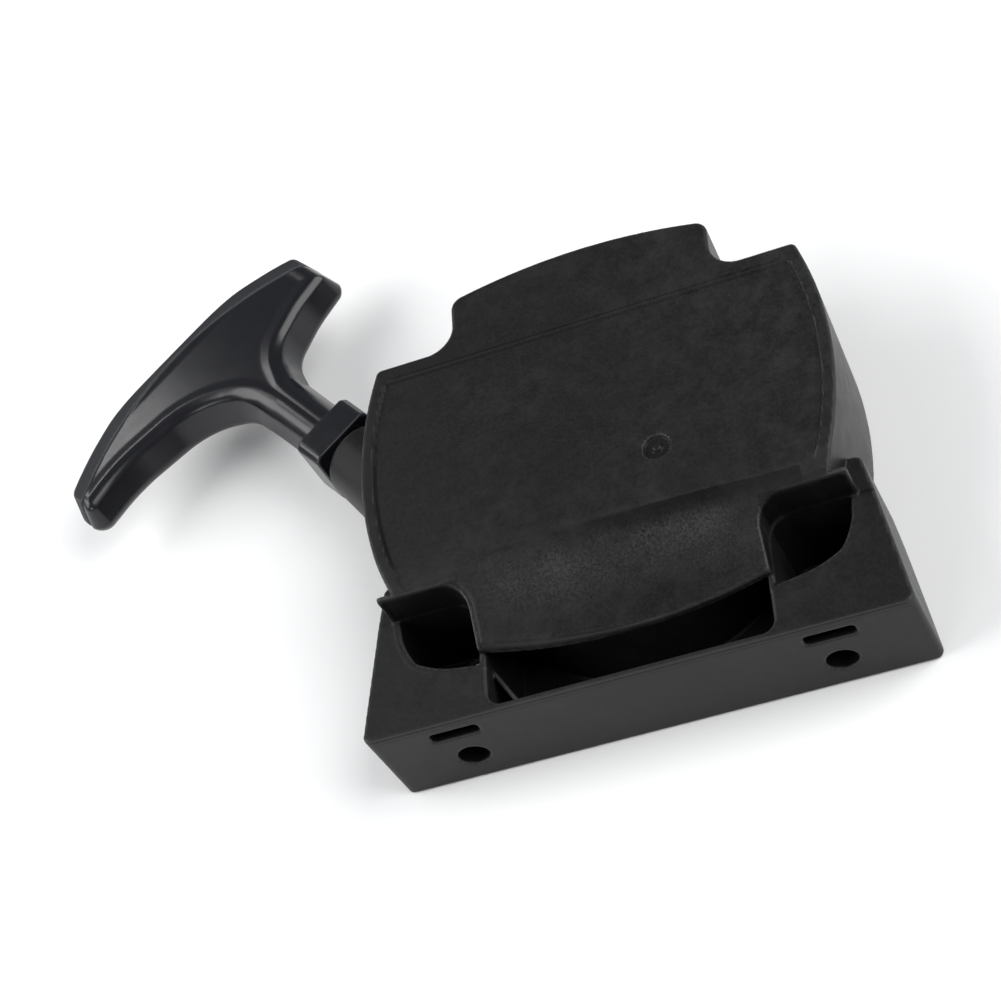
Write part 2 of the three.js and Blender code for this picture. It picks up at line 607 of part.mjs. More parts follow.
const makeHandleKnot = () => turnedOnPull(knotProfile(KNOT.from + 1.9, KNOT.radius, KNOT.length), 12);

// The straight rope from where it leaves the winding to the washer in the grip.
function makeRopeRun() {
  const along = (AXIS.x - PULL.x) * pullDir.x + (AXIS.y - PULL.y) * pullDir.y;
  const path = new THREE.LineCurve3(onPull(along + 4), onPull(KNOT.from + 1.6));
  return swept(path, roundSection(ROPE.diameter / 2, 8), 20);
}

function makeReelKnot() {
  const profile = knotProfile(PULL.z - WINDOW.knotLength / 2, WINDOW.knot, WINDOW.knotLength);
  return aroundAxis(turned(profile, 10, (WINDOW.from + WINDOW.to) / 2), knotAngle);
}

// ---- the part -----------------------------------------------------------------------------------------
const group = new THREE.Group();
group.add(piece("housing", makeHousing(), caseNylon));
group.add(piece("rope_guide", makeRopeGuide(), steel));
group.add(piece("recoil_spring", makeRecoilSpring(), springSteel));
group.add(piece("spring_cover", makeSpringCover(), steel));
coverScrewPlaces().forEach((place, i) => {
  group.add(piece("spring_cover_screw_" + (i + 1), makeCoverScrew(place), steel));
});
group.add(piece("mount_sleeve_left", makeSleeve(-1), steel));
group.add(piece("mount_sleeve_right", makeSleeve(1), steel));
group.add(piece("centre_screw", makeCentreScrew(), steel));
group.add(piece("thrust_washer", makeThrustWasher(), steel));
group.add(piece("friction_spring", makeFrictionSpring(), springSteel));
group.add(piece("reel", makeReel(), reelNylon));
group.add(piece("reel_bush", makeBush(), bronze));
group.add(piece("rope_winding", makeRopeWinding(), ropeNylon));
group.add(piece("reel_knot", makeReelKnot(), ropeNylon));
pawlAngles.forEach((angle, i) => {
  group.add(piece("pawl_" + (i + 1), makePawl(angle), steel));
  group.add(piece("pawl_spring_" + (i + 1), makePawlSpring(angle), springSteel));
});
group.add(piece("pawl_guide", makePawlGuide(), steel));
group.add(piece("rope_run", makeRopeRun(), ropeNylon));
group.add(piece("handle_grip", makeHandleGrip(), gripNylon));
group.add(piece("handle_cap", makeHandleCap(), gripNylon));
group.add(piece("handle_collar", makeHandleCollar(), gripNylon));
group.add(piece("knot_washer", makeKnotWasher(), steel));
group.add(piece("handle_knot", makeHandleKnot(), ropeNylon));

const bounds = new THREE.Box3().setFromObject(group);
const centre = bounds.getCenter(new THREE.Vector3());
group.position.set(-centre.x, -centre.y, -bounds.min.z);

export default group;
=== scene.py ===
"""Recoil starter of a small engine, seen from above its front wall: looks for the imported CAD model.

The pieces that show are solids described by signed distances and turned into meshes, in millimetres from the
case's own datum: x = 0 is the case's middle, y = 0 the outside of its front wall and z = 0 its rim.
"""

import math

import bmesh
import bpy
import numpy as np
import openvdb
from mathutils import Matrix, Vector


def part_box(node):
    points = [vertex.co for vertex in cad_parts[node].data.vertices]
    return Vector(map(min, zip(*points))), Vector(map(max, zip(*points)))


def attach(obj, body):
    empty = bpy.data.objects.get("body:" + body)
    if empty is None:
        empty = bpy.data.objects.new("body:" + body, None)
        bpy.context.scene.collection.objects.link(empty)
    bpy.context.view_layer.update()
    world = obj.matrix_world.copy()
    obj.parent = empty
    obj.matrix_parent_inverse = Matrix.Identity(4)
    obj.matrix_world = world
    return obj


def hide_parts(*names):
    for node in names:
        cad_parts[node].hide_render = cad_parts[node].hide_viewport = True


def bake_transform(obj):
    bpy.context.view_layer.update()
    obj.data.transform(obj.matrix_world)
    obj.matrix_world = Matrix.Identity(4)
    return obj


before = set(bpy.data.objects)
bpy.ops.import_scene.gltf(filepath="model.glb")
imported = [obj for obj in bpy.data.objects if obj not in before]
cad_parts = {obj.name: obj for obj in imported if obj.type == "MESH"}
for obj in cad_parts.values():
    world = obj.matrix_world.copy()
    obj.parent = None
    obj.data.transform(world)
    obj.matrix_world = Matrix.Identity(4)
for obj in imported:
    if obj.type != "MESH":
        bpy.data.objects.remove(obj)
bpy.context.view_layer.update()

MM = 0.001

# ---- sizes in millimetres -----------------------------------------------------------------------------
# They are the CAD model's, apart from what the looks refine: the plate's step, the scoop's fold, lip and
# dish, the slots' height, the mark, the collar's corners, the grip's dish and the cap's depth and top.
HEIGHT = 48.0
WALL = 2.5
BULGE = dict(radius=130.0, x=-54.8, y=84.0, top=124.5, low=39.4, draft=2.2)
HUMP = dict(half=42.7, corner=143.5, apex=148.7, fillet=9.0)
RIM = dict(width=4.4, recess=1.0, top=118.0, step=0.45)
SCOOP = dict(fold=47.6, slope=0.434, half=45.0, corner=20.2, middle=15.1, sheet=2.8, dish=2.0)
FOLD = dict(sharp_at=30.0, soft_over=75.0, sharp=0.2, softer=2.8)
LIP = dict(sharp_at=12.0, soft_over=30.0, radius=1.1, rounder=1.5)
SKIRT = dict(height=33.0, front=83.6, mid=77.4, mid_y=39.6, back=75.0, back_y=52.6)
WELL = dict(floor=4.0, wall=2.0, corner=8.0, inner=45.4, outer=70.4, front=9.6, raised=20.0)
WELL_LEAN = dict(outer=0.12, front=0.16, corner_x=67.5, corner_y=24.5, front_corner=4.0, cut_corner=5.0)
SLEEVE = dict(x=52.5, y=26.0, boss=7.0, hole=4.5, top=14.0)
THROAT = dict(half=43.3, front=2.2, back=60.0, corner=4.0)
FRONT_HOLE = dict(x=56.6, z=12.3, head=4.7, shank=2.7, boss=7.1, step=9.0, end=11.0)
FRONT_SLOT = dict(x=56.9, z=26.0, length=15.0, height=4.3, depth=4.0, corner=1.3)
SHROUD = dict(inner=52.0, outer=54.0, top=30.0, front=8.0, back=46.0)
DUCT = dict(floor=2.5, rib_top=28.0, rib_back=18.0, rib_end=-34.2, rib=1.4)
MARK = dict(x=19.1, y=65.0, radius=4.0, centre=1.5, depth=1.0)
AXIS = dict(x=0.0, y=72.0)
CHAMBER = dict(inner=27.0, outer=29.0, low=36.3, boss=31.0, boss_radius=3.2)
POST = dict(radius=4.0, bore=1.9, low=12.0, bore_top=30.0)
COVER_SCREW = dict(hole=1.7, end=42.0)

PULL_ANGLE = math.radians(130)
PULL_START = Vector((-75.6, 100.0, 22.2))
NECK = dict(root=14.2, rim=12.4, shoulder=17.5, spigot=8.8, end=23.4, bore=5.0, inside=-14.0,
            bore_start=-30.0)
COLLAR = dict(start=20.6, end=32.2, half=11.6, top=11.0, bottom=-13.2, mouth=9.4, depth=6.0,
              chamfer=2.0)
GRIP = dict(top=10.0, bottom=-6.0, stem=9.6, start=32.5, right=45.0, left=-73.0, knot=90.0, pocket=5.2,
            dish=0.5, droop=1.3, reach=60.0, lean=0.34, edge=2.8, stem_edge=2.4, under_edge=5.5)
CAP = dict(depth=5.4, top=9.4, bottom=-5.0, gap=0.3, start=84.0, end_edge=1.6, edge=0.5, under_edge=4.5)
OUTER = dict(radius=122.0, t=-11.0, apex=109.2)
ROPE = dict(radius=1.75, hole=2.9, pitch=3.65, turns=4.6, past_tangent=4.0, past_knot=1.6)

# Radii of broken edges, and of the fillets where walls meet.
EDGE = 0.9
SMALL_EDGE = 0.4
THIN_EDGE = 0.3
WALL_FILLET = 0.8
CHAMBER_FILLET = 0.6
NECK_FILLET = 1.6

FLOOR_GAP = 0.2
FINE = 0.5
PITCH = FINE

# The datum's place in the frame, from the housing's box.
housing_low, housing_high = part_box("housing")
DATUM = Vector((housing_high.x - SKIRT["front"] * MM, housing_low.y, 0.0))
to_frame = Matrix.Translation(DATUM) @ Matrix.Scale(MM, 4)

PULL = Vector((math.cos(PULL_ANGLE), math.sin(PULL_ANGLE), 0.0))
ACROSS = Vector((math.sin(PULL_ANGLE), -math.cos(PULL_ANGLE), 0.0))
UP = Vector((0.0, 0.0, 1.0))


def pull_frame():
    """From (across, along the pull, up) in millimetres to the frame's metres."""
    place = Matrix((ACROSS, PULL, UP)).transposed().to_4x4()
    return to_frame @ Matrix.Translation(PULL_START) @ place


# ---- camera, floor and lights -------------------------------------------------------------------------
AZIMUTH = math.radians(25.71)
ELEVATION = math.radians(49.0)
ROLL = math.radians(36.13)
LENS = 90.05
DISTANCE = 779.5
TARGET = Vector((-41.34, 84.81, 17.6))


def make_camera():
    right = Vector((math.cos(AZIMUTH), math.sin(AZIMUTH), 0))
    back = Vector((math.sin(AZIMUTH) * math.cos(ELEVATION),
                   -math.cos(AZIMUTH) * math.cos(ELEVATION), math.sin(ELEVATION)))
    up = back.cross(right)
    across = math.cos(ROLL) * right - math.sin(ROLL) * up
    above = math.sin(ROLL) * right + math.cos(ROLL) * up
    data = bpy.data.cameras.new("camera")
    data.lens = LENS
    data.sensor_width = 36
    data.clip_start = 0.01
    data.clip_end = 50
    camera = bpy.data.objects.new("camera", data)
    camera.matrix_world = Matrix.Translation(to_frame @ (TARGET + DISTANCE * back)) @ \
        Matrix((across, above, back)).transposed().to_4x4()
    bpy.context.scene.collection.objects.link(camera)
    bpy.context.scene.camera = camera


def area_light(name, place, target, size, watts):
    data = bpy.data.lights.new(name, "AREA")
    data.shape = "RECTANGLE"
    data.size, data.size_y = size
    data.energy = watts
    light = bpy.data.objects.new(name, data)
    direction = Vector(target) - Vector(place)
    turned = direction.to_track_quat("-Z", "Y").to_matrix().to_4x4()
    light.matrix_world = Matrix.Translation(Vector(place)) @ turned
    bpy.context.scene.collection.objects.link(light)


def make_stage():
    bpy.context.scene.view_settings.view_transform = "Standard"
    world = bpy.data.worlds.new("studio")
    bpy.context.scene.world = world
    world.use_nodes = True
    background = world.node_tree.nodes["Background"]
    background.inputs["Color"].default_value = (0.93, 0.96, 1.0, 1)
    background.inputs["Strength"].default_value = 0.2

    area_light("key", (-0.95, -0.10, 0.80), (-0.02, 0.0, 0.02), (1.0, 1.0), 12)
    area_light("fill", (0.95, -0.05, 0.95), (0.0, 0.0, 0.02), (1.2, 1.2), 17)
    area_light("front", (-0.35, -0.95, 0.45), (0.0, 0.0, 0.02), (0.5, 0.25), 1.3)
    area_light("strip", (-0.336, 0.286, 0.338), (-0.12, 0.03, 0.03), (0.14, 0.09), 0.22)

    mesh = bpy.data.meshes.new("floor")
    reach = 3.0
    floor_corners = [(-reach, -reach, 0), (reach, -reach, 0), (reach, reach, 0), (-reach, reach, 0)]
    mesh.from_pydata(floor_corners, [], [(0, 1, 2, 3)])
    floor = bpy.data.objects.new("floor", mesh)
    floor.location.z = -FLOOR_GAP * MM
    bpy.context.scene.collection.objects.link(floor)
    material = bpy.data.materials.new("floor_white")
    material.use_nodes = True
    shader = material.node_tree.nodes["Principled BSDF"]
    shader.inputs["Base Color"].default_value = (0.96, 0.96, 0.96, 1)
    shader.inputs["Roughness"].default_value = 0.9
    mesh.materials.append(material)


# ---- solids as signed distances -----------------------------------------------------------------------
def join(a, b, radius=0.0):
    """The union of two solids, with a fillet of the radius where they meet."""
    over_a = np.maximum(radius - a, 0)
    over_b = np.maximum(radius - b, 0)
    return np.maximum(radius, np.minimum(a, b)) - np.sqrt(over_a * over_a + over_b * over_b)


def common(a, b, radius=0.0):
    """What two solids share, with its edge rounded to the radius."""
    return -join(-a, -b, radius)


def cut(a, b, radius=0.0):
    """The first solid without the second, with the cut's edge rounded to the radius."""
    return common(a, -b, radius)


def folded(a, b, soft):
    """What two solids share where their faces meet at a shallow angle, with the fold softened."""
    return np.maximum(a, b) + np.maximum(soft - np.abs(a - b), 0) ** 2 / (4 * soft)


def slab(value, low, high):
    """Between two values of one coordinate."""
    return np.abs(value - (low + high) / 2) - (high - low) / 2


class Solid:
    """Signed distances in millimetres on a regular grid, negative inside."""

    def __init__(self, low, high, pitch):
        self.low = low
        self.pitch = pitch
        self.axes = [np.arange(a, b + pitch, pitch, dtype=np.float32) for a, b in zip(low, high)]
        self.values = np.full([len(axis) for axis in self.axes], 99, np.float32)

    def block(self, low=None, high=None):
        """The part of the grid between two corners, with its coordinates."""
        low = low or (-999, -999, -999)
        high = high or (999, 999, 999)
        part = tuple(slice(np.searchsorted(axis, a), np.searchsorted(axis, b))
                     for axis, a, b in zip(self.axes, low, high))
        places = np.meshgrid(*(axis[s] for axis, s in zip(self.axes, part)), indexing="ij", sparse=True)
        return part, places

    def add(self, shape, radius=0.0, low=None, high=None):
        part, (x, y, z) = self.block(low, high)
        self.values[part] = join(self.values[part], shape(x, y, z), radius)

    def remove(self, shape, radius=0.0, low=None, high=None):
        part, (x, y, z) = self.block(low, high)
        self.values[part] = cut(self.values[part], shape(x, y, z), radius)

    def bend(self, points):
        """How sharply the surface turns outwards at grid points, per millimetre, evened out a little."""
        spread = np.zeros_like(self.values)
        inner = (slice(1, -1),) * 3
        for axis in range(3):
            ahead = np.roll(self.values, -1, axis)[inner]
            behind = np.roll(self.values, 1, axis)[inner]
            spread[inner] += (ahead + behind - 2 * self.values[inner]) / self.pitch ** 2
        limits = np.array(self.values.shape) - 2
        at = np.clip(np.rint(points).astype(int), 1, limits)
        steps = [(0, 0, 0), (1, 0, 0), (-1, 0, 0), (0, 1, 0), (0, -1, 0), (0, 0, 1), (0, 0, -1)]
        total = sum(np.clip(spread[tuple((at + step).T)], -2, 2) for step in steps)
        return total.astype(np.float32) / len(steps)

    def mesh(self, name, matrix):
        """The solid's surface as a smooth-shaded object, placed by the matrix."""
        band = 3 * self.pitch
        grid = openvdb.FloatGrid(background=band)
        grid.copyFromArray(np.clip(self.values, -band, band))
        points, triangles, quads = grid.convertToPolygons(isovalue=0.0, adaptivity=0.0)
        edge_wear_and_highlight = self.bend(points)
        points = points * self.pitch + np.array(self.low, np.float32)
        mesh = bpy.data.meshes.new(name)
        faces = [tuple(f) for f in triangles] + [tuple(f) for f in quads]
        mesh.from_pydata([tuple(p) for p in points], [], faces)
        mesh.transform(matrix)
        # The bend drives the nylon's edge wear and its painted edge highlights.
        mesh.attributes.new("edge_wear_and_highlight", "FLOAT", "POINT").data.foreach_set("value", edge_wear_and_highlight)
        tidy = bmesh.new()
        tidy.from_mesh(mesh)
        bmesh.ops.remove_doubles(tidy, verts=tidy.verts, dist=1e-7)
        bmesh.ops.recalc_face_normals(tidy, faces=tidy.faces)
        tidy.to_mesh(mesh)
        tidy.free()
        mesh.shade_smooth()
        made = bpy.data.objects.new(name, mesh)
        bpy.context.scene.collection.objects.link(made)
        return made


# ---- the case -----------------------------------------------------------------------------------------
def bulge_side(x, y):
    return np.hypot(np.abs(x) - BULGE["x"], y - BULGE["y"]) - BULGE["radius"]


def case_outline(x, y, corner=1.5):
    """The case seen from above: barrel sides, a straight top edge and the hump behind it."""
    barrel = common(bulge_side(x, y), y - BULGE["top"], corner)
    crown = HUMP["apex"] - (HUMP["apex"] - HUMP["corner"]) * (x / HUMP["half"]) ** 2
    hump = common(np.abs(x) - HUMP["half"], y - crown, corner + 2)
    return join(barrel, hump, HUMP["fillet"])


def draft(z):
    return BULGE["draft"] * (HEIGHT - z) / HEIGHT


def plate_recess(x, y):
    """How far the plate's inner panel lies below its border."""
    outline = common(bulge_side(x, y) + RIM["width"], y - RIM["top"], 0.5)
    return RIM["recess"] * np.clip(0.5 - outline / RIM["step"], 0, 1)


def top_surface(x, y, z):
    """The plate and, in front of its fold, the dished slope of the scoop.

    The fold is crisp on the right and softer, with less of a dish in front of it, towards the left.
    """
    down = SCOOP["fold"] - y
    to_left = np.clip((FOLD["sharp_at"] - x) / FOLD["soft_over"], 0, 1)
    across = np.clip(1.15 - (x / SCOOP["half"]) ** 2, 0, 1)
    along = np.clip(down / (SCOOP["fold"] - SCOOP["middle"]), 0, 1)
    dish = SCOOP["dish"] * (1 - 0.5 * to_left) * across * 4 * along * (1 - along)
    slope = (z - HEIGHT + SCOOP["slope"] * down + dish) / math.hypot(1, SCOOP["slope"])
    return folded(z - HEIGHT + plate_recess(x, y), slope, FOLD["sharp"] + FOLD["softer"] * to_left)


def skirt_outline(x, y):
    wide = np.abs(x)

    def edge(x0, y0, x1, y1):
        length = math.hypot(x1 - x0, y1 - y0)
        return ((wide - x0) * (y1 - y0) - (y - y0) * (x1 - x0)) / length

    lower = edge(SKIRT["front"], 0, SKIRT["mid"], SKIRT["mid_y"])
    upper = edge(SKIRT["mid"], SKIRT["mid_y"], SKIRT["back"], SKIRT["back_y"])
    sides = common(lower, upper)
    return common(common(sides, y - SKIRT["back_y"], 2.0), -y, 3.0)


def throat(x, y):
    """The opening behind the front wall, from above."""
    run = common(THROAT["front"] - y, y - THROAT["back"])
    return common(np.abs(x) - THROAT["half"], run, THROAT["corner"])


def pocket(x, y, extra=0.0):
    """A screw pocket from above, grown by extra, with leaning outer and front walls and a cut corner."""
    wide = np.abs(x)
    inner = WELL["inner"] - extra - wide
    outer = (wide - WELL["outer"]) * 0.99 - (y - BULGE["low"]) * WELL_LEAN["outer"] - extra
    front = (WELL["front"] - y) + WELL_LEAN["front"] * wide - extra
    back = y - BULGE["low"] - extra
    corner = ((wide - WELL_LEAN["corner_x"]) - (y - WELL_LEAN["corner_y"])) * 0.707 - extra
    outside = common(outer, front, WELL_LEAN["front_corner"])
    shape = common(common(inner, back, WELL["corner"] + extra), outside)
    return common(shape, corner, WELL_LEAN["cut_corner"])


def scoop_plan(x, y):
    """The scooped panel from above, out to its bowed lip."""
    lip = SCOOP["middle"] + (SCOOP["corner"] - SCOOP["middle"]) * (x / SCOOP["half"]) ** 2
    return common(join(np.abs(x) - SCOOP["half"], BULGE["low"] - y, WELL["corner"]), lip - y)


def neck_places(x, y, z):
    """Distance from the pull axis and distance along it."""
    along = (x - PULL_START.x) * PULL.x + (y - PULL_START.y) * PULL.y
    aside = (x - PULL_START.x) * ACROSS.x + (y - PULL_START.y) * ACROSS.y
    return np.hypot(aside, z - PULL_START.z), along


def cover_screws():
    """Where the spring cover's three screws stand."""
    for degrees in (90, 210, 330):
        angle = math.radians(degrees)
        yield AXIS["x"] + CHAMBER["boss"] * math.cos(angle), AXIS["y"] + CHAMBER["boss"] * math.sin(angle)


def make_case():
    case = Solid((-102, -3, -3), (87, 153, 51), PITCH)

    def barrel(x, y, z):
        outline = common(case_outline(x, y) + draft(z), BULGE["low"] - y)
        return common(common(outline, top_surface(x, y, z), EDGE), -z, SMALL_EDGE)

    def inside(x, y, z):
        low = BULGE["low"] + WALL - y
        outline = common(case_outline(x, y) + WALL + draft(z), low, 2.0)
        return common(outline, top_surface(x, y, z) + WALL, 1.5)

    def skirt(x, y, z):
        return common(common(skirt_outline(x, y), z - SKIRT["height"], EDGE), -z, SMALL_EDGE)

    def opening(x, y, z):
        return common(throat(x, y), z - HEIGHT)

    def apron(x, y, z):
        hollow = common(skirt_outline(x, y) + WALL, THROAT["half"] + 4 - np.abs(x), 1.5)
        return common(hollow, z - SKIRT["height"] + WALL, 1.0)

    def scoop(x, y, z):
        surface = top_surface(x, y, z)
        plan = common(common(scoop_plan(x, y), y - SCOOP["fold"] - 4), case_outline(x, y) + WALL)
        rolled = LIP["radius"] + LIP["rounder"] * np.clip((LIP["sharp_at"] - x) / LIP["soft_over"], 0, 1)
        return common(common(plan, surface, rolled), -surface - SCOOP["sheet"], 0.8)

    def well_wall(x, y, z):
        walls = common(common(pocket(x, y, WELL["wall"]), z - SKIRT["height"], THIN_EDGE), -z)
        raised = common(pocket(x, y, WELL["wall"]), WELL["raised"] - z)
        return join(walls, common(common(raised, scoop_plan(x, y)), top_surface(x, y, z), LIP["radius"]))

    def well(x, y, z):
        return common(pocket(x, y), WELL["floor"] - z, 1.0)

    case.add(skirt)
    case.remove(opening, EDGE)
    case.add(barrel, 0.5)
    case.remove(inside)
    case.remove(lambda x, y, z: common(throat(x, y), top_surface(x, y, z) + SCOOP["sheet"]))
    case.remove(apron)
    case.add(scoop, THIN_EDGE)
    case.add(well_wall, THIN_EDGE)
    case.remove(well, 1.0)

    def from_screw(x, y):
        return np.hypot(np.abs(x) - SLEEVE["x"], y - SLEEVE["y"])

    def boss(x, y, z):
        post = from_screw(x, y) - SLEEVE["boss"]
        return common(common(common(post, pocket(x, y, 1.0)), z - SLEEVE["top"], 0.6), -z)

    low_front = dict(high=(99, 40, 20))
    case.add(boss, WALL_FILLET, **low_front)
    case.remove(lambda x, y, z: from_screw(x, y) - SLEEVE["hole"], THIN_EDGE, **low_front)
    front_wall(case)
    plate_details(case)
    inside_details(case)
    make_neck(case)
    return case.mesh("case", to_frame)


def front_wall(case):
    """Stepped screw holes and slots through the front wall."""
    hole = FRONT_HOLE

    def ring(x, z):
        return np.hypot(np.abs(x) - hole["x"], z - hole["z"])

    near = dict(high=(99, 16, 40))
    case.add(lambda x, y, z: common(ring(x, z) - hole["boss"], slab(y, 1, hole["end"])), 0.5, **near)
    case.remove(lambda x, y, z: common(ring(x, z) - hole["head"], y - hole["step"]), 0.5, **near)
    case.remove(lambda x, y, z: ring(x, z) - hole["shank"], THIN_EDGE, **near)

    def slot(x, y, z):
        beyond = np.abs(np.abs(x) - FRONT_SLOT["x"]) - FRONT_SLOT["length"] / 2
        above = np.abs(z - FRONT_SLOT["z"]) - FRONT_SLOT["height"] / 2
        return common(common(beyond, above, FRONT_SLOT["corner"]), y - FRONT_SLOT["depth"])

    case.remove(slot, SMALL_EDGE, **near)


def plate_details(case):
    """A plain round groove sunk into the plate."""
    def mark(x, y, z):
        radius = np.hypot(x - MARK["x"], y - MARK["y"])
        groove = slab(radius, MARK["centre"], MARK["radius"])
        return common(groove, HEIGHT - RIM["recess"] - MARK["depth"] - z)

    case.remove(mark, THIN_EDGE, low=(8, 54, 40), high=(30, 76, 55))


def inside_details(case):
    """The fan's curved wall, the duct's floor and rib, the spring's chamber, its bosses and the post."""
    def from_axis(x, y):
        return np.hypot(x - AXIS["x"], y - AXIS["y"])

    def shroud(x, y, z):
        wall = slab(from_axis(x, y), SHROUD["inner"], SHROUD["outer"])
        wall = common(wall, slab(y, SHROUD["front"], SHROUD["back"]))
        return common(common(wall, np.abs(x) - THROAT["half"] - 1), slab(z, 0, SHROUD["top"]), 0.5)

    roof = HEIGHT - 1

    def under(x, y, z, shape):
        """The shape as far as it lies a millimetre below the plate and the scoop."""
        return common(shape, top_surface(x, y, z) + 1)

    def chamber(x, y, z):
        wall = slab(from_axis(x, y), CHAMBER["inner"], CHAMBER["outer"])
        return under(x, y, z, common(wall, slab(z, CHAMBER["low"], roof)))

    def post(x, y, z):
        return common(from_axis(x, y) - POST["radius"], slab(z, POST["low"], roof), 0.4)

    def duct_floor(x, y, z):
        plan = common(np.abs(x) - THROAT["half"] - 1, slab(y, THROAT["front"] - 1, SHROUD["back"]))
        return common(cut(plan, from_axis(x, y) - SHROUD["inner"] - 1), slab(z, 0, DUCT["floor"]))

    def rib(x, y, z):
        """Stiffens the duct's left front corner."""
        run = Vector((DUCT["rib_end"] + THROAT["half"] + 1, THROAT["front"] - 1 - DUCT["rib_back"]))
        aside = ((x + THROAT["half"] + 1) * run.y - (y - DUCT["rib_back"]) * run.x) / run.length
        plan = common(np.abs(aside) - DUCT["rib"] / 2, throat(x, y) - 1)
        return common(plan, slab(z, 0, DUCT["rib_top"]), 0.3)

    case.add(shroud, WALL_FILLET)
    case.add(duct_floor, WALL_FILLET, high=(99, 50, 40))
    case.add(rib, WALL_FILLET, high=(-20, 30, 40))
    middle = dict(low=(-40, 32, -9), high=(40, 112, 47))
    case.add(chamber, CHAMBER_FILLET, **middle)
    for at_x, at_y in cover_screws():
        def boss(x, y, z):
            round_boss = np.hypot(x - at_x, y - at_y) - CHAMBER["boss_radius"]
            return under(x, y, z, common(round_boss, slab(z, CHAMBER["low"], roof)))

        def hole(x, y, z):
            return common(np.hypot(x - at_x, y - at_y) - COVER_SCREW["hole"], z - COVER_SCREW["end"])

        case.add(boss, CHAMBER_FILLET, **middle)
        case.remove(hole, **middle)
    case.add(post, WALL_FILLET, **middle)
    case.remove(lambda x, y, z: common(from_axis(x, y) - POST["bore"], z - POST["bore_top"]), **middle)


def make_neck(case):
    """The rope's neck on the left wall, with its docking spigot."""
    def neck(x, y, z):
        radius, along = neck_places(x, y, z)
        taper = (NECK["root"] - NECK["rim"]) / NECK["shoulder"]
        cone = common(radius - NECK["root"] + taper * along, along - NECK["shoulder"], 0.7)
        spigot = common(radius - NECK["spigot"], along - NECK["end"], 0.6)
        body = common(join(cone, spigot, 0.5), NECK["inside"] - along)
        shell = np.maximum(case_outline(x, y) + WALL + draft(z), BULGE["low"] + WALL - y)
        return cut(body, shell)

    near = dict(low=(-102, 70, -9), high=(-40, 140, 50))
    case.add(neck, NECK_FILLET, **near)

    def bore(x, y, z):
        radius, along = neck_places(x, y, z)
        return common(radius - NECK["bore"], NECK["bore_start"] - along)

    case.remove(bore, SMALL_EDGE, **near)


# ---- the handle ---------------------------------------------------------------------------------------
def rounded(corners, steps=24):
    """A closed outline from (x, y, radius) corners."""
    points = []
    count = len(corners)
    for i, (x, y, radius) in enumerate(corners):
        here = Vector((x, y))
        if not radius:
            points.append(here)
            continue
        before = (Vector(corners[i - 1][:2]) - here).normalized()
        after = (Vector(corners[(i + 1) % count][:2]) - here).normalized()
        half = math.acos(max(-1, min(1, before.dot(after)))) / 2
        centre = here + (before + after).normalized() * (radius / math.sin(half))
        start = here + before * (radius / math.tan(half)) - centre
        end = here + after * (radius / math.tan(half)) - centre
        sweep = start.angle_signed(end)
        for k in range(steps + 1):
            angle = math.atan2(start.y, start.x) - sweep * k / steps
            points.append(centre + radius * Vector((math.cos(angle), math.sin(angle))))
    return points


def inside_outline(points, x, y):
    """Signed distance from a closed outline."""
    x, y = np.broadcast_arrays(x, y)
    nearest = np.full(x.shape, 1e9, np.float32)
    within = np.zeros(x.shape, bool)
    for a, b in zip(points, points[1:] + points[:1]):
        edge = b - a
        if edge.length < 1e-6:
            continue
        part = np.clip(((x - a.x) * edge.x + (y - a.y) * edge.y) / edge.length_squared, 0, 1)
        nearest = np.minimum(nearest, np.hypot(x - a.x - part * edge.x, y - a.y - part * edge.y))
        if edge.y:
            crosses = (a.y > y) != (b.y > y)
            within ^= crosses & (x < a.x + (y - a.y) * edge.x / edge.y)
    return np.where(within, -nearest, nearest).astype(np.float32)


def grip_outline():
    stem = GRIP["stem"]
    right = GRIP["right"]
    left = GRIP["left"]
    return rounded([
        (-stem, GRIP["start"] - 9, 0),
        (stem, GRIP["start"] - 9, 0),
        (stem + 0.4, 58, 0),
        (14, 69.6, 14),
        (30, 76, 40),
        (right, 79, 4),
        (right - 1, 110, 0),
        (left + 1, 110, 0),
        (left + 0.3, 80, 5.5),
        (-52, 82.8, 60),
        (-22, 78.4, 30),
        (-10.2, 66, 14),
        (-stem, 52, 0),
    ])


def outer_arc(t, s):
    """Distance outside the handle's long outer arc."""
    return np.hypot(t - OUTER["t"], s - OUTER["apex"] + OUTER["radius"]) - OUTER["radius"]


def handle_top(t):
    """The handle's upper face droops a little towards its tips."""
    return GRIP["top"] - GRIP["droop"] * ((t - OUTER["t"]) / GRIP["reach"]) ** 2


def handle_solid(start):
    """An empty grid for the handle from a distance along the pull, and the handle's leaning side walls."""
    low = (GRIP["left"] - 3, start, GRIP["bottom"] - 3)
    solid = Solid(low, (GRIP["right"] + 3, 113, 13), PITCH * 0.7)
    part, (t, s, h) = solid.block()
    plan = inside_outline(grip_outline(), t, s)
    side = (plan + GRIP["lean"] * np.maximum(h + 1, 0)) / math.hypot(1, GRIP["lean"])
    return solid, part, (t, s, h), side


def make_grip():
    grip, part, (t, s, h), side = handle_solid(GRIP["start"] - 3)
    along_stem = np.clip((74 - s) / 20, 0, 1)
    soft = GRIP["edge"] + GRIP["stem_edge"] * along_stem
    bead = np.clip((-side - 2.4) / 4.4, 0, 1)
    dish = GRIP["dish"] * bead * bead * (3 - 2 * bead)
    body = common(side, h - handle_top(t) + dish, soft)
    body = common(body, GRIP["bottom"] - h, GRIP["under_edge"])
    body = common(body, outer_arc(t, s) + CAP["depth"] + CAP["gap"], 0.35)
    body = common(body, GRIP["start"] - s, SMALL_EDGE)
    radius = np.hypot(t, h)
    bore = join(radius - ROPE["hole"], common(radius - GRIP["pocket"], GRIP["knot"] - s))
    grip.values[part] = cut(body, bore)
    return grip.mesh("grip", pull_frame())


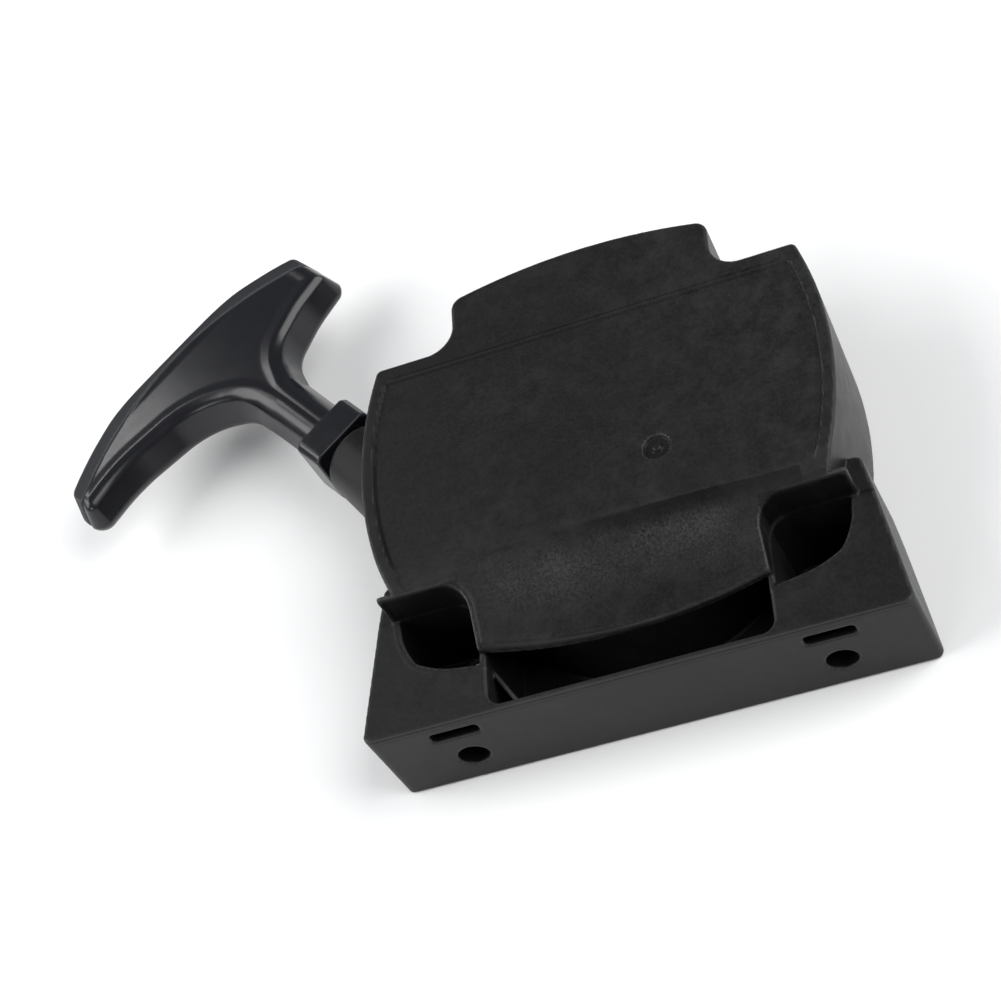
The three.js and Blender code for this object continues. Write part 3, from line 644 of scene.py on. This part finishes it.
def make_cap():
    cap, part, (t, s, h), ends = handle_solid(CAP["start"])
    band = common(slab(outer_arc(t, s), -CAP["depth"], 0), ends, CAP["end_edge"])
    upper = h - handle_top(t) + GRIP["top"] - CAP["top"]
    band = common(band, upper, CAP["edge"])
    cap.values[part] = common(band, CAP["bottom"] - h, CAP["under_edge"])
    return cap.mesh("cap", pull_frame())


def make_collar():
    low = (-15, COLLAR["start"] - 3, COLLAR["bottom"] - 3)
    collar = Solid(low, (15, COLLAR["end"] + 3, 14), PITCH * 0.6)
    part, (t, s, h) = collar.block()
    wide = np.abs(t)
    box = common(wide - COLLAR["half"], slab(h, COLLAR["bottom"], COLLAR["top"]), 0.6)
    middle = (COLLAR["top"] + COLLAR["bottom"]) / 2
    tall = (COLLAR["top"] - COLLAR["bottom"]) / 2
    chamfer = (wide + np.abs(h - middle) - COLLAR["half"] - tall + COLLAR["chamfer"]) / math.sqrt(2)
    box = common(box, chamfer, 0.5)
    body = common(box, slab(s, COLLAR["start"], COLLAR["end"]), 0.8)
    radius = np.hypot(t, h)
    mouth = common(radius - COLLAR["mouth"], s - COLLAR["start"] - COLLAR["depth"])
    collar.values[part] = cut(cut(body, mouth, 0.5), radius - ROPE["hole"], THIN_EDGE)
    return collar.mesh("collar", pull_frame())


# ---- the rope -----------------------------------------------------------------------------------------
def tube(name, path, radius, sides=16):
    """A closed round strand along level points, with how far along and around it each corner lies."""
    rings = len(path)
    points = []
    along = []
    around = []
    travelled = 0.0
    for i, here in enumerate(path):
        direction = (path[min(i + 1, rings - 1)] - path[max(i - 1, 0)]).normalized()
        across = direction.cross(UP)
        travelled += (here - path[i - 1]).length if i else 0
        for k in range(sides):
            angle = 2 * math.pi * k / sides
            points.append(here + radius * (math.cos(angle) * UP + math.sin(angle) * across))
            along.append(travelled)
            around.append(k / sides)
    faces = []
    for i in range(rings - 1):
        for k in range(sides):
            this = i * sides + k
            beside = i * sides + (k + 1) % sides
            faces.append((this, beside, beside + sides, this + sides))
    faces.append(tuple(reversed(range(sides))))
    faces.append(tuple((rings - 1) * sides + k for k in range(sides)))
    mesh = bpy.data.meshes.new(name)
    mesh.from_pydata([tuple(to_frame @ p) for p in points], [], faces)
    mesh.shade_smooth()
    for label, values in (("along", along), ("around", around)):
        mesh.attributes.new(label, "FLOAT", "POINT").data.foreach_set("value", values)
    made = bpy.data.objects.new(name, mesh)
    bpy.context.scene.collection.objects.link(made)
    return made


def on_pull(s):
    return PULL_START + s * PULL


AXIS_PLACE = Vector((AXIS["x"], AXIS["y"], PULL_START.z))
RUN_START = (AXIS_PLACE - PULL_START).dot(PULL) + ROPE["past_tangent"]
TANGENT = (AXIS_PLACE - PULL_START).dot(ACROSS)


def make_rope_run():
    end = GRIP["knot"] + ROPE["past_knot"]
    count = 80
    path = [on_pull(RUN_START + (end - RUN_START) * i / count) for i in range(count + 1)]
    return tube("rope", path, ROPE["radius"])


def make_winding():
    """Turns that start at the tangent point, one inside the other, a hair thinner than the rope's run."""
    steps = 48
    total = round(ROPE["turns"] * steps)
    start = math.atan2(-ACROSS.y, -ACROSS.x)
    path = []
    for i in range(total + 1):
        turn = i / steps
        radius = TANGENT - ROPE["pitch"] * turn
        angle = start + 2 * math.pi * turn
        path.append(AXIS_PLACE + radius * Vector((math.cos(angle), math.sin(angle), 0)))
    return tube("winding", path, ROPE["radius"] - 0.02, 12)


# ---- materials ----------------------------------------------------------------------------------------
class Nodes:
    """Short calls for building a material's nodes."""

    def __init__(self, name):
        self.material = bpy.data.materials.new(name)
        self.material.use_nodes = True
        self.tree = self.material.node_tree
        self.shader = self.tree.nodes["Principled BSDF"]
        self.place = self.add("ShaderNodeTexCoord").outputs["Object"]

    def add(self, kind, **values):
        node = self.tree.nodes.new(kind)
        for key, value in values.items():
            setattr(node, key, value)
        return node

    def link(self, source, target):
        if isinstance(source, (int, float)):
            target.default_value = source
        else:
            self.tree.links.new(source, target)

    def math(self, operation, a, b=0.0, clamp=False):
        node = self.add("ShaderNodeMath", operation=operation, use_clamp=clamp)
        self.link(a, node.inputs[0])
        self.link(b, node.inputs[1])
        return node.outputs[0]

    def product(self, first, *others):
        for other in others:
            first = self.math("MULTIPLY", first, other)
        return first

    def highest(self, first, *others):
        for other in others:
            first = self.math("MAXIMUM", first, other)
        return first

    def above(self, value, limit):
        return self.math("GREATER_THAN", value, limit)

    def below(self, value, limit):
        return self.math("LESS_THAN", value, limit)

    def inside(self, value, low, high):
        return self.product(self.above(value, low), self.below(value, high))

    def stretched(self, scale, turn=0.0):
        node = self.add("ShaderNodeMapping")
        self.link(self.place, node.inputs["Vector"])
        node.inputs["Rotation"].default_value = (0, 0, turn)
        node.inputs["Scale"].default_value = scale
        return node.outputs["Vector"]

    def noise(self, per_metre, detail=3.0, rough=0.55, vector=None):
        node = self.add("ShaderNodeTexNoise")
        self.link(vector or self.place, node.inputs["Vector"])
        node.inputs["Scale"].default_value = per_metre
        node.inputs["Detail"].default_value = detail
        node.inputs["Roughness"].default_value = rough
        return node.outputs["Fac"]

    def ramp(self, value, stops):
        """stops are (place, colour) pairs."""
        node = self.add("ShaderNodeValToRGB")
        elements = node.color_ramp.elements
        while len(elements) < len(stops):
            elements.new(0.5)
        for element, (place, colour) in zip(elements, stops):
            element.position = place
            element.color = (*colour, 1)
        self.link(value, node.inputs["Fac"])
        return node.outputs["Color"]

    def between(self, value, low, high, to_low=0.0, to_high=1.0):
        node = self.add("ShaderNodeMapRange")
        self.link(value, node.inputs["Value"])
        for socket, number in zip(node.inputs[1:5], (low, high, to_low, to_high)):
            socket.default_value = number
        return node.outputs["Result"]

    def bump(self, height, strength, distance, before=None):
        node = self.add("ShaderNodeBump")
        node.inputs["Strength"].default_value = strength
        node.inputs["Distance"].default_value = distance
        self.link(height, node.inputs["Height"])
        if before:
            self.link(before, node.inputs["Normal"])
        return node.outputs["Normal"]

    def mix(self, factor, a, b):
        node = self.add("ShaderNodeMix", data_type="RGBA")
        self.link(factor, node.inputs["Factor"])
        for source, socket in ((a, node.inputs[6]), (b, node.inputs[7])):
            if isinstance(source, tuple):
                socket.default_value = (*source, 1)
            else:
                self.tree.links.new(source, socket)
        return node.outputs[2]

    def worn_and_highlit_edges(self):
        """Paler where the surface turns sharply outwards: edge wear with a painted highlight on the rounded
        edges.
        """
        bend = self.add("ShaderNodeAttribute", attribute_name="edge_wear_and_highlight").outputs["Fac"]
        return self.between(bend, 0.45, 1.2)

    def scratches(self):
        """Short thin marks in three directions, denser in some places."""
        marks = 0.0
        for turn, width in ((0.35, 1500), (1.25, 1900), (2.2, 1700)):
            lines = self.noise(1.0, 1, 0.5, self.stretched((width, 55, 55), turn))
            marks = self.math("MAXIMUM", marks, self.between(lines, 0.70, 0.80))
        return self.math("MULTIPLY", marks, self.between(self.noise(34, 3, 0.6), 0.45, 0.62))

    def from_datum(self, axis):
        """Millimetres from the case's datum along an axis."""
        split = self.add("ShaderNodeSeparateXYZ")
        self.link(self.place, split.inputs[0])
        index = "xyz".index(axis)
        return self.math("MULTIPLY", self.math("SUBTRACT", split.outputs[index], DATUM[index]), 1 / MM)


def moulded_nylon(name, dark, light, roughness, grain, scuffs=0.5, specular=0.42):
    """Black moulded plastic: fine grain, cloudy rubbing, thin scratches and paler edges, part wear and part
    painted highlight.
    """
    n = Nodes(name)
    cloud = n.noise(26, 5, 0.62)
    patches = n.noise(150, 4, 0.68)
    fine = n.noise(900, 2, 0.5)
    rubbed = n.math("MULTIPLY", n.between(cloud, 0.40, 0.66), n.between(patches, 0.40, 0.66))
    colour = n.mix(n.math("MULTIPLY", rubbed, scuffs, True), dark, light)
    colour = n.mix(n.between(fine, 0.35, 0.75, 0.0, grain), colour, light)
    marks = n.scratches()
    colour = n.mix(n.math("MULTIPLY", marks, 0.15 * scuffs, True), colour, tuple(2.6 * v for v in light))
    # Paler edges: edge wear with a painted highlight laid on the rounded edges.
    colour = n.mix(n.math("MULTIPLY", n.worn_and_highlit_edges(), 0.45, True), colour, tuple(3.2 * v for v in light))
    n.link(colour, n.shader.inputs["Base Color"])
    vary = 0.1 * roughness
    rough = n.math("ADD", n.between(patches, 0.3, 0.7, roughness - vary, roughness + vary),
                   n.between(fine, 0.3, 0.7, -vary * grain, vary * grain))
    n.link(rough, n.shader.inputs["Roughness"])
    pits = n.noise(2300, 2, 0.6)
    waves = n.noise(55, 3, 0.5)
    normal = n.bump(pits, grain, 0.12 * MM)
    normal = n.bump(waves, 0.15 + 0.25 * grain, 0.3 * MM, normal)
    n.link(normal, n.shader.inputs["Normal"])
    n.shader.inputs["Specular IOR Level"].default_value = specular
    return n, colour, rough, normal


# Where painted shade lines follow the case's fine grooves and where other painted shade lies, in millimetres
# on the case.
PLATE_ABOVE = 45.5
SHEET_ABOVE = SKIRT["height"] + 0.6
BORDER_LINE = dict(y=RIM["top"] + 1.4, width=0.5, end=64.0)
STEP_LINE = dict(width=0.7, front=SCOOP["fold"] + 0.4)
RING_LINE = dict(radius=2.2, width=2.7)
SEAM_LINE = dict(z=SKIRT["height"] - 2.3, width=0.45, in_front_of=0.15)
BELOW_FOLD = dict(clear=9.0, dark=5.0, left=-30.0, right=20.0, wide=60.0, low=40.0, high=46.8)
BORED = dict(front=0.45, low=3.0, high=31.0, inner=48.0, outer=66.0)
PITTED = dict(front=8.0, full=12.0, fading=8.0, back=3.0, full_half=30.0)
SHINY = dict(back=2.0, full_half=36.0, half=50.0, left=-40.0, right=10.0)


def groove_shade_lines(n, x, y, z, on_plate):
    """Thin painted shade lines: the plate's border and step, the mark's ring and the front wall's top seam.
    """
    def line(value, at, width):
        return n.between(n.math("ABSOLUTE", n.math("SUBTRACT", value, at)), width * 0.5, width, 1.0, 0.0)

    end = BORDER_LINE["end"]
    run = n.between(n.math("ABSOLUTE", x), end - 1, end, 1.0, 0.0)
    border = n.product(line(y, BORDER_LINE["y"], BORDER_LINE["width"]), run, on_plate)

    beside = n.math("SUBTRACT", n.math("ABSOLUTE", x), BULGE["x"])
    beyond = n.math("SUBTRACT", y, BULGE["y"])
    side = n.math("SQRT", n.math("ADD", n.product(beside, beside), n.product(beyond, beyond)))
    side = n.math("ADD", side, RIM["width"] - BULGE["radius"])
    panel_edge = n.highest(side, n.math("SUBTRACT", y, RIM["top"]))
    step = n.product(line(panel_edge, 0.0, STEP_LINE["width"]), on_plate, n.above(y, STEP_LINE["front"]))

    from_mark = n.add("ShaderNodeVectorMath", operation="DISTANCE")
    n.link(n.place, from_mark.inputs[0])
    mark = Vector((MARK["x"], MARK["y"], HEIGHT - RIM["recess"] - MARK["depth"] / 2))
    from_mark.inputs[1].default_value = to_frame @ mark
    radius = n.math("MULTIPLY", from_mark.outputs["Value"], 1 / MM)
    ring = line(radius, RING_LINE["radius"], RING_LINE["width"])

    seam = n.product(line(z, SEAM_LINE["z"], SEAM_LINE["width"]), n.below(y, SEAM_LINE["in_front_of"]))
    return n.highest(border, step, ring, seam)


def painted_shade_places(n, x, y, z, wide):
    """Painted shade where little light gets to: under the fold's right half, inside the front holes and in
    the pockets.
    """
    near_fold = n.between(y, SCOOP["fold"] - BELOW_FOLD["clear"], SCOOP["fold"] - BELOW_FOLD["dark"])
    below_fold = n.product(near_fold, n.between(x, BELOW_FOLD["left"], BELOW_FOLD["right"]))
    on_slope = n.product(n.below(y, SCOOP["fold"]), n.below(wide, BELOW_FOLD["wide"]),
                         n.inside(z, BELOW_FOLD["low"], BELOW_FOLD["high"]))

    in_wall = n.inside(y, BORED["front"], FRONT_HOLE["end"])
    beside = n.inside(wide, BORED["inner"], BORED["outer"])
    bored = n.product(in_wall, n.inside(z, BORED["low"], BORED["high"]), beside)

    in_pocket = n.product(n.above(wide, WELL["inner"] + 0.8), n.below(y, BULGE["low"] + 0.6))
    back_wall = n.highest(n.above(z, SKIRT["height"] + 0.9), n.above(y, BULGE["low"] - 0.5))
    walls = n.product(n.below(z, SKIRT["height"] - 0.9), n.above(y, 12), n.below(wide, WELL["outer"] + 2))
    pocket_walls = n.product(in_pocket, n.highest(back_wall, walls))
    return n.highest(n.product(below_fold, on_slope), bored, pocket_walls)


def case_surface():
    """The case's plastic, with what the mould left on the plate, the scoop and the front wall."""
    dark = (0.0078, 0.0078, 0.0083)
    light = (0.021, 0.021, 0.0215)
    # Near black, for the painted shade lines and the other painted shade.
    shade_black = (0.002, 0.002, 0.002)
    pale_pits = (0.042, 0.042, 0.042)
    n, colour, rough, normal = moulded_nylon("case_nylon", dark, light, 0.45, 0.4, scuffs=0.8, specular=0.22)
    x, y, z = (n.from_datum(axis) for axis in "xyz")
    wide = n.math("ABSOLUTE", x)
    on_plate = n.above(z, PLATE_ABOVE)
    on_sheet = n.above(z, SHEET_ABOVE)
    painted_groove_shade = groove_shade_lines(n, x, y, z, on_plate)
    # Painted shade along the border, the step, the mark's ring and the seam.
    colour = n.mix(n.math("MULTIPLY", painted_groove_shade, 0.75), colour, shade_black)

    towards_right = n.between(n.math("ADD", x, n.math("MULTIPLY", y, 0.5)), 30, 110)
    rubbed = n.product(towards_right, on_plate, n.between(n.noise(130, 6, 0.75), 0.42, 0.66))
    colour = n.mix(n.math("MULTIPLY", rubbed, 0.45), colour, tuple(1.8 * v for v in light))

    rising = n.between(y, SCOOP["middle"] + PITTED["front"], SCOOP["fold"] - PITTED["full"])
    falling = n.between(y, SCOOP["fold"] - PITTED["fading"], SCOOP["fold"] - PITTED["back"], 1.0, 0.0)
    middle = n.between(wide, PITTED["full_half"], SCOOP["half"], 1.0, 0.0)
    band = n.product(rising, falling, on_sheet, middle)
    coarse = n.noise(1150, 3, 0.75)
    patchy = n.between(n.noise(90, 3, 0.6), 0.35, 0.6, 0.35, 1.0)
    pitted = n.product(band, patchy, n.between(coarse, 0.42, 0.60))
    colour = n.mix(n.math("MULTIPLY", pitted, 0.7), colour, pale_pits)

    # Painted shade under the fold, in the front holes and on the pocket walls.
    colour = n.mix(n.math("MULTIPLY", painted_shade_places(n, x, y, z, wide), 0.7), colour, shade_black)
    n.link(colour, n.shader.inputs["Base Color"])

    shiny = n.product(n.below(y, SCOOP["fold"] - SHINY["back"]), on_sheet,
                      n.between(wide, SHINY["full_half"], SHINY["half"], 1.0, 0.0),
                      n.between(x, SHINY["left"], SHINY["right"], 0.4, 1.0))
    normal_parts = n.add("ShaderNodeSeparateXYZ")
    n.link(n.add("ShaderNodeNewGeometry").outputs["Normal"], normal_parts.inputs[0])
    sideways = n.between(n.math("ABSOLUTE", normal_parts.outputs[0]), 0.6, 0.9)
    rough = n.math("SUBTRACT", rough, n.math("MULTIPLY", shiny, 0.15))
    rough = n.math("SUBTRACT", rough, n.math("MULTIPLY", sideways, 0.07))
    rough = n.math("ADD", rough, n.math("MULTIPLY", pitted, 0.1))
    n.link(rough, n.shader.inputs["Roughness"])
    pits = n.product(band, coarse)
    n.link(n.bump(pits, 0.35, 0.4 * MM, normal), n.shader.inputs["Normal"])
    return n.material


def metal(name, colour, roughness, lines=0.3):
    """Plated or bright metal with turning marks and a cloudy film."""
    n = Nodes(name)
    cloud = n.noise(60, 4, 0.6)
    marks = n.noise(700, 2, 0.5, n.stretched((1, 1, 6)))
    n.link(n.mix(n.between(cloud, 0.35, 0.7), colour, tuple(0.72 * v for v in colour)),
           n.shader.inputs["Base Color"])
    n.link(n.between(marks, 0.3, 0.7, roughness - 0.06, roughness + 0.10), n.shader.inputs["Roughness"])
    n.link(n.bump(marks, lines, 0.08 * MM), n.shader.inputs["Normal"])
    n.shader.inputs["Metallic"].default_value = 1.0
    return n.material


def braid(name, along, around):
    """Diagonal crossing strands from millimetres along and turns around a rope."""
    n = Nodes(name)
    along, around = (source(n) for source in (along, around))
    run = n.math("MULTIPLY", along, 0.36)
    turn = n.math("MULTIPLY", around, 6.0)
    left = n.math("ADD", turn, run)
    right = n.math("SUBTRACT", turn, run)
    waves = [n.math("ABSOLUTE", n.math("SINE", n.math("MULTIPLY", v, math.pi))) for v in (left, right)]
    crossing = n.math("MULTIPLY", n.math("ADD", left, right), math.pi / 2)
    over = n.above(n.math("SINE", crossing), 0.0)
    under = n.math("SUBTRACT", 1.0, over)
    strands = [n.product(wave, n.math("ADD", n.math("MULTIPLY", uppermost, 0.5), 0.5))
               for wave, uppermost in zip(waves, (over, under))]
    height = n.highest(*strands)
    # Painted shade between the strands and under the crossing ones, and painted light on the crests.
    shade_between_strands = (0.006, 0.006, 0.008)
    flanks = (0.03, 0.032, 0.038)
    lit_crests = (0.075, 0.078, 0.088)
    colour = n.ramp(height, [(0.0, shade_between_strands), (0.55, flanks), (1.0, lit_crests)])
    n.link(colour, n.shader.inputs["Base Color"])
    fibre = n.noise(4000, 2, 0.6)
    n.link(n.bump(fibre, 0.3, 0.1 * MM, n.bump(height, 0.9, 0.6 * MM)), n.shader.inputs["Normal"])
    n.link(n.between(fibre, 0.3, 0.7, 0.62, 0.85), n.shader.inputs["Roughness"])
    return n.material


def stored(label):
    """One of the attributes that tube() leaves on a strand."""
    def source(n):
        return n.add("ShaderNodeAttribute", attribute_name=label).outputs["Fac"]
    return source


def measured(direction):
    """Millimetres from the pull's start along a direction."""
    def source(n):
        start = to_frame @ PULL_START
        shift = n.add("ShaderNodeVectorMath", operation="SUBTRACT")
        n.link(n.place, shift.inputs[0])
        shift.inputs[1].default_value = start
        dot = n.add("ShaderNodeVectorMath", operation="DOT_PRODUCT")
        n.link(shift.outputs[0], dot.inputs[0])
        dot.inputs[1].default_value = direction
        return n.math("MULTIPLY", dot.outputs["Value"], 1 / MM)
    return source


def turned_round(n):
    """Turns around the pull's axis."""
    angle = n.math("ARCTAN2", measured(UP)(n), measured(ACROSS)(n))
    return n.math("DIVIDE", angle, 2 * math.pi)


def plain_nylon(name, dark, light, roughness, grain, **settings):
    return moulded_nylon(name, dark, light, roughness, grain, **settings)[0].material


case_nylon = case_surface()
grip_nylon = plain_nylon("grip_nylon", (0.006, 0.0062, 0.0085), (0.011, 0.0115, 0.0145), 0.24, 0.02,
                         specular=0.5)
cap_nylon = plain_nylon("cap_nylon", (0.017, 0.018, 0.021), (0.03, 0.031, 0.034), 0.6, 0.15,
                        scuffs=0.6, specular=0.3)
reel_nylon = plain_nylon("reel_nylon", (0.045, 0.047, 0.052), (0.075, 0.078, 0.085), 0.48, 0.25)
zinc = metal("zinc_steel", (0.52, 0.54, 0.56), 0.34)
blued = metal("blued_spring_steel", (0.13, 0.15, 0.19), 0.36)
sintered = metal("sintered_bronze", (0.55, 0.36, 0.16), 0.42)
run_braid = braid("rope_braid", measured(PULL), turned_round)
wound_braid = braid("wound_braid", stored("along"), stored("around"))


# ---- small fittings, kept in shape from the CAD model ---------------------------------------------------
BROKEN_EDGE = 0.25


def softened(node, material, body):
    """A CAD fitting with its flats whole again, its edges broken and its round faces smooth."""
    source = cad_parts[node]
    mesh = source.data.copy()
    mesh.name = node + "_fine"
    mesh.materials.clear()
    mesh.materials.append(material)
    work = bmesh.new()
    work.from_mesh(mesh)
    bmesh.ops.remove_doubles(work, verts=work.verts, dist=1e-6)
    bmesh.ops.dissolve_limit(work, angle_limit=math.radians(1.0), verts=work.verts, edges=work.edges)
    work.to_mesh(mesh)
    work.free()
    made = bpy.data.objects.new(node + "_fine", mesh)
    bpy.context.scene.collection.objects.link(made)
    bevel = made.modifiers.new("edges", "BEVEL")
    bevel.width = BROKEN_EDGE * MM
    bevel.segments = 2
    bevel.limit_method = "ANGLE"
    bevel.angle_limit = math.radians(35)
    mesh.shade_smooth()
    mesh.set_sharp_from_angle(angle=math.radians(38))
    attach(made, body)
    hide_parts(node)


def finish_piece(piece, material, node):
    piece.data.materials.append(material)
    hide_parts(node)


make_camera()
make_stage()

case = make_case()
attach(case, "housing")
finish_piece(case, case_nylon, "housing")

for make, node, material in ((make_grip, "handle_grip", grip_nylon), (make_cap, "handle_cap", cap_nylon),
                             (make_collar, "handle_collar", grip_nylon)):
    piece = make()
    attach(piece, "handle")
    finish_piece(piece, material, node)

rope = make_rope_run()
finish_piece(rope, run_braid, "rope_run")
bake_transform(rope)

winding = make_winding()
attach(winding, "reel")
finish_piece(winding, wound_braid, "rope_winding")

FITTINGS = {
    "housing": dict(rope_guide=zinc, spring_cover=zinc, spring_cover_screw_1=zinc, spring_cover_screw_2=zinc,
                    spring_cover_screw_3=zinc, mount_sleeve_left=zinc, mount_sleeve_right=zinc,
                    centre_screw=zinc, thrust_washer=zinc, friction_spring=blued, recoil_spring=blued),
    "handle": dict(knot_washer=zinc, handle_knot=run_braid),
    "reel": dict(reel=reel_nylon, reel_bush=sintered, reel_knot=run_braid, pawl_spring_1=blued,
                 pawl_spring_2=blued),
    "guide": dict(pawl_guide=zinc),
    "pawl_a": dict(pawl_1=zinc),
    "pawl_b": dict(pawl_2=zinc),
}
for body, fittings in FITTINGS.items():
    for node, material in fittings.items():
        softened(node, material, body)
